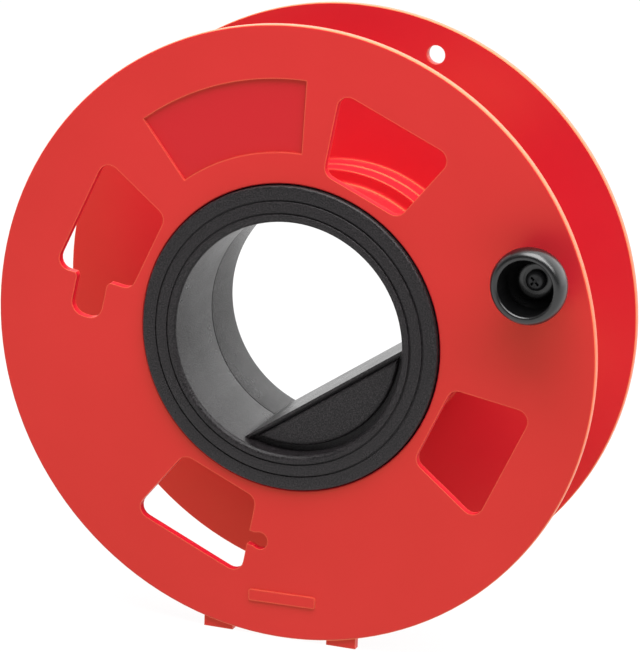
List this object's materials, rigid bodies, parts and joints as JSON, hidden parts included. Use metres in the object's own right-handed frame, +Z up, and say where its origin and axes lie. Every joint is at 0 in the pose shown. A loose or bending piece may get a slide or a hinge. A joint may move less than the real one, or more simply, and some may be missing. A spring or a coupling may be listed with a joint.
{
  "type": "cord storage reel",
  "caption": "Hand-held cord storage reel: two-flange plastic spool with windows and cord notches, centre spin handle with a D-shaped grip, and a winding knob.",
  "frame": {"origin": "on the floor under the middle of the reel's depth and width, between its feet", "axes": "+Z up from the feet, +Y along the reel axis towards the rear flange, +X to the right as seen from the knob side"},
  "size_m": [0.292, 0.1084, 0.2925],
  "materials": {
    "orange_shell": "satin injection-moulded polypropylene, orange-red",
    "black_hub": "finely textured matte black plastic",
    "black_knob": "semi-gloss black plastic",
    "zinc_screw": "zinc-plated steel",
    "black_screw": "black oxide steel"
  },
  "bodies": {
    "spool": {"front_flange": "orange_shell", "rear_flange": "orange_shell", "spool_screws": "zinc_screw", "knob_screw": "black_screw"},
    "centre_handle": {"front_hub": "black_hub", "rear_hub": "black_hub", "hub_screws": "zinc_screw", "front_grip_cover": "black_hub", "rear_grip_cover": "black_hub"},
    "winding_knob": {"knob": "black_knob"}
  },
  "joints": [
    {"name": "handle_spin", "type": "hinge", "parent": "spool", "child": "centre_handle", "pos_m": [0, 0.01225, 0.1465], "axis": [0, 1, 0], "continuous": true},
    {"name": "knob_spin", "type": "hinge", "parent": "spool", "child": "winding_knob", "pos_m": [0.11802, -0.03, 0.19063], "axis": [0, 1, 0], "continuous": true}
  ]
}
